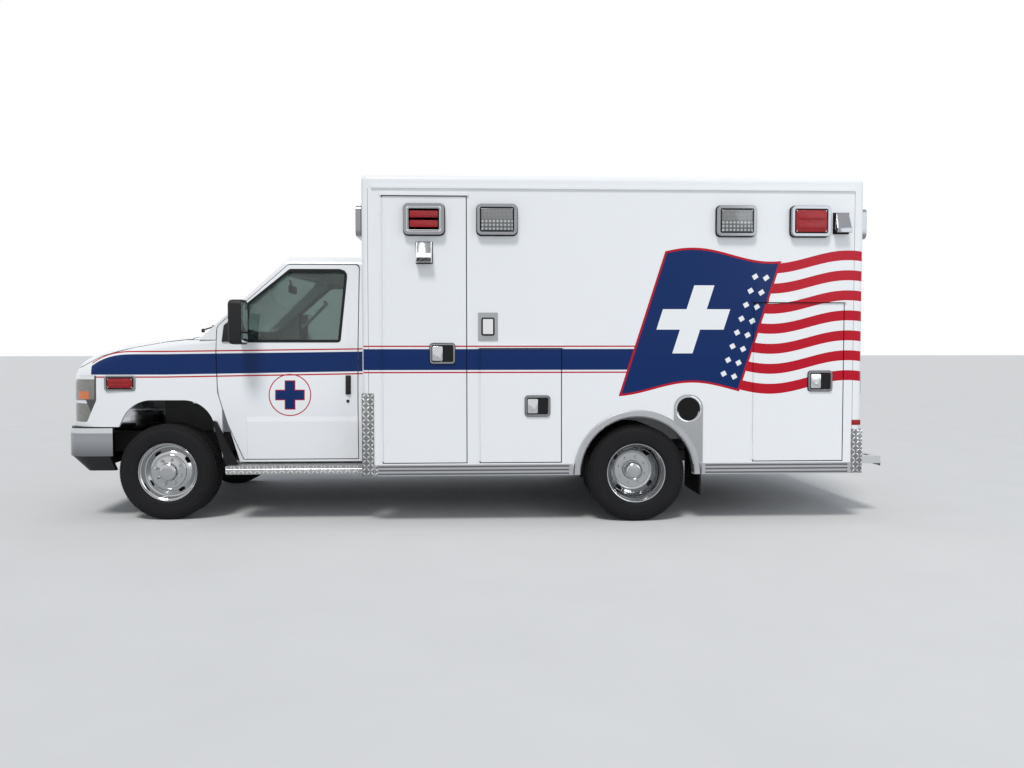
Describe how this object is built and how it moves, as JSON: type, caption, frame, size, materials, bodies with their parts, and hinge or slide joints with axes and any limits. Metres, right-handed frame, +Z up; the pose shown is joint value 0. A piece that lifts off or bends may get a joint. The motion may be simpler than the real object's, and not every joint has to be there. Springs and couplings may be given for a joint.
{
  "type": "ambulance",
  "caption": "Box-body ambulance on a cutaway van chassis, with hinged doors and compartments, steering front wheels and twin rear wheels.",
  "frame": {"origin": "centre of the overall box, on the floor under the tyres", "axes": "+X forward, +Y to the vehicle's left, +Z up"},
  "size_m": [6.2301, 2.554, 2.545],
  "materials": {
    "white_paint": "gloss",
    "chrome": "polished",
    "polished_aluminium": "polished",
    "bare_aluminium": "satin",
    "black_plastic": "matte",
    "grey_plastic": "matte",
    "seat_cloth": "woven",
    "glass": "tinted",
    "lamp_clear": "clear",
    "lamp_red": "clear",
    "frame_black": "satin",
    "cast_engine": "rough",
    "exhaust_steel": "dull",
    "wheel_liner": "polished",
    "tyre": "matte"
  },
  "bodies": {
    "chassis": {"cab_shell": "white_paint", "front_fenders": "white_paint", "headlamps": "lamp_clear", "grille": "chrome", "front_bumper": "chrome", "bumper_valance": "black_plastic", "windshield": "glass", "dashboard": "grey_plastic", "cab_seats": "seat_cloth", "running_boards": "polished_aluminium", "splash_guards": "black_plastic", "frame_rails": "frame_black", "engine_block": "cast_engine", "driveline": "frame_black", "exhaust": "exhaust_steel", "fuel_tank": "frame_black", "front_axle": "frame_black", "rear_axle": "frame_black", "module_floor": "bare_aluminium", "module_left_wall": "white_paint", "module_right_wall": "white_paint", "module_front_wall": "white_paint", "module_rear_wall": "white_paint", "module_roof": "white_paint", "compartments": "bare_aluminium", "patient_interior": "grey_plastic", "warning_lights": "lamp_red", "scene_lights": "lamp_clear", "rub_rails": "polished_aluminium", "side_inlets": "polished_aluminium", "rear_step": "polished_aluminium"},
    "hood": {"hood": "white_paint"},
    "steering_wheel": {"steering_wheel": "black_plastic"},
    "cab_door_left": {"cab_door_left": "white_paint", "door_glass_left": "glass", "mirror_left": "black_plastic"},
    "knuckle_left": {"knuckle_left": "frame_black"},
    "front_wheel_left": {"front_rim_left": "wheel_liner", "front_tyre_left": "tyre"},
    "rear_wheels_left": {"rear_rims_left": "wheel_liner", "rear_tyres_left": "tyre"},
    "rear_door_left": {"rear_door_left": "white_paint", "rear_glass_left": "glass"},
    "cab_door_right": {"cab_door_right": "white_paint", "door_glass_right": "glass", "mirror_right": "black_plastic"},
    "knuckle_right": {"knuckle_right": "frame_black"},
    "front_wheel_right": {"front_rim_right": "wheel_liner", "front_tyre_right": "tyre"},
    "rear_wheels_right": {"rear_rims_right": "wheel_liner", "rear_tyres_right": "tyre"},
    "rear_door_right": {"rear_door_right": "white_paint", "rear_glass_right": "glass"},
    "compartment_door_left_front": {"compartment_door_left_front": "white_paint"},
    "compartment_door_left_middle": {"compartment_door_left_middle": "white_paint"},
    "compartment_door_left_rear": {"compartment_door_left_rear": "white_paint"},
    "compartment_door_right_front": {"compartment_door_right_front": "white_paint"},
    "compartment_door_right_rear": {"compartment_door_right_rear": "white_paint"},
    "side_entry_door": {"side_entry_door": "white_paint", "entry_glass": "glass"}
  },
  "joints": [
    {"name": "hood_hinge", "type": "hinge", "parent": "chassis", "child": "hood", "pos_m": [2.0955, 0, 1.385], "axis": [0, -1, 0], "range_deg": [0, 45]},
    {"name": "cab_door_left_hinge", "type": "hinge", "parent": "chassis", "child": "cab_door_left", "pos_m": [1.9505, 1.012, 0.9], "axis": [0, 0.0698, -0.9976], "range_deg": [0, 68]},
    {"name": "cab_door_right_hinge", "type": "hinge", "parent": "chassis", "child": "cab_door_right", "pos_m": [1.9505, -1.012, 0.9], "axis": [0, 0.0698, 0.9976], "range_deg": [0, 68]},
    {"name": "compartment_door_left_front_hinge", "type": "hinge", "parent": "chassis", "child": "compartment_door_left_front", "pos_m": [0.689, 1.212, 1.2], "axis": [0, 0, -1], "range_deg": [0, 105]},
    {"name": "compartment_door_left_middle_hinge", "type": "hinge", "parent": "chassis", "child": "compartment_door_left_middle", "pos_m": [-0.018, 1.212, 1.2], "axis": [0, 0, -1], "range_deg": [0, 105]},
    {"name": "compartment_door_left_rear_hinge", "type": "hinge", "parent": "chassis", "child": "compartment_door_left_rear", "pos_m": [-2.043, 1.212, 1.2], "axis": [0, 0, -1], "range_deg": [0, 105]},
    {"name": "compartment_door_right_front_hinge", "type": "hinge", "parent": "chassis", "child": "compartment_door_right_front", "pos_m": [0.689, -1.212, 1.2], "axis": [0, 0, 1], "range_deg": [0, 105]},
    {"name": "compartment_door_right_rear_hinge", "type": "hinge", "parent": "chassis", "child": "compartment_door_right_rear", "pos_m": [-2.043, -1.212, 1.2], "axis": [0, 0, 1], "range_deg": [0, 105]},
    {"name": "side_entry_door_hinge", "type": "hinge", "parent": "chassis", "child": "side_entry_door", "pos_m": [0.135, -1.212, 1.2], "axis": [0, 0, 1], "range_deg": [0, 105]},
    {"name": "rear_door_left_hinge", "type": "hinge", "parent": "chassis", "child": "rear_door_left", "pos_m": [-2.8705, 0.6085, 1.5], "axis": [0, 0, -1], "range_deg": [0, 150]},
    {"name": "rear_door_right_hinge", "type": "hinge", "parent": "chassis", "child": "rear_door_right", "pos_m": [-2.8705, -0.6085, 1.5], "axis": [0, 0, 1], "range_deg": [0, 150]},
    {"name": "steer_left", "type": "hinge", "parent": "chassis", "child": "knuckle_left", "pos_m": [2.3255, 0.8, 0.361], "axis": [0, 0, 1], "range_deg": [-33, 33]},
    {"name": "front_wheel_left_spin", "type": "hinge", "parent": "knuckle_left", "child": "front_wheel_left", "pos_m": [2.3255, 0.872, 0.361], "axis": [0, 1, 0], "continuous": true},
    {"name": "rear_wheels_left_spin", "type": "hinge", "parent": "chassis", "child": "rear_wheels_left", "pos_m": [-1.1795, 1.078, 0.361], "axis": [0, 1, 0], "continuous": true},
    {"name": "steer_right", "type": "hinge", "parent": "chassis", "child": "knuckle_right", "pos_m": [2.3255, -0.8, 0.361], "axis": [0, 0, 1], "range_deg": [-33, 33]},
    {"name": "front_wheel_right_spin", "type": "hinge", "parent": "knuckle_right", "child": "front_wheel_right", "pos_m": [2.3255, -0.872, 0.361], "axis": [0, 1, 0], "continuous": true},
    {"name": "rear_wheels_right_spin", "type": "hinge", "parent": "chassis", "child": "rear_wheels_right", "pos_m": [-1.1795, -1.078, 0.361], "axis": [0, 1, 0], "continuous": true},
    {"name": "steering_wheel_turn", "type": "hinge", "parent": "chassis", "child": "steering_wheel", "pos_m": [1.6705, 0.42, 1.3], "axis": [-0.6428, 0, 0.766], "range_deg": [-500, 500]}
  ],
  "couplings": [
    {"joint": "steer_right", "follows": "steer_left", "ratio": 1},
    {"joint": "steering_wheel_turn", "follows": "steer_left", "ratio": 15}
  ]
}
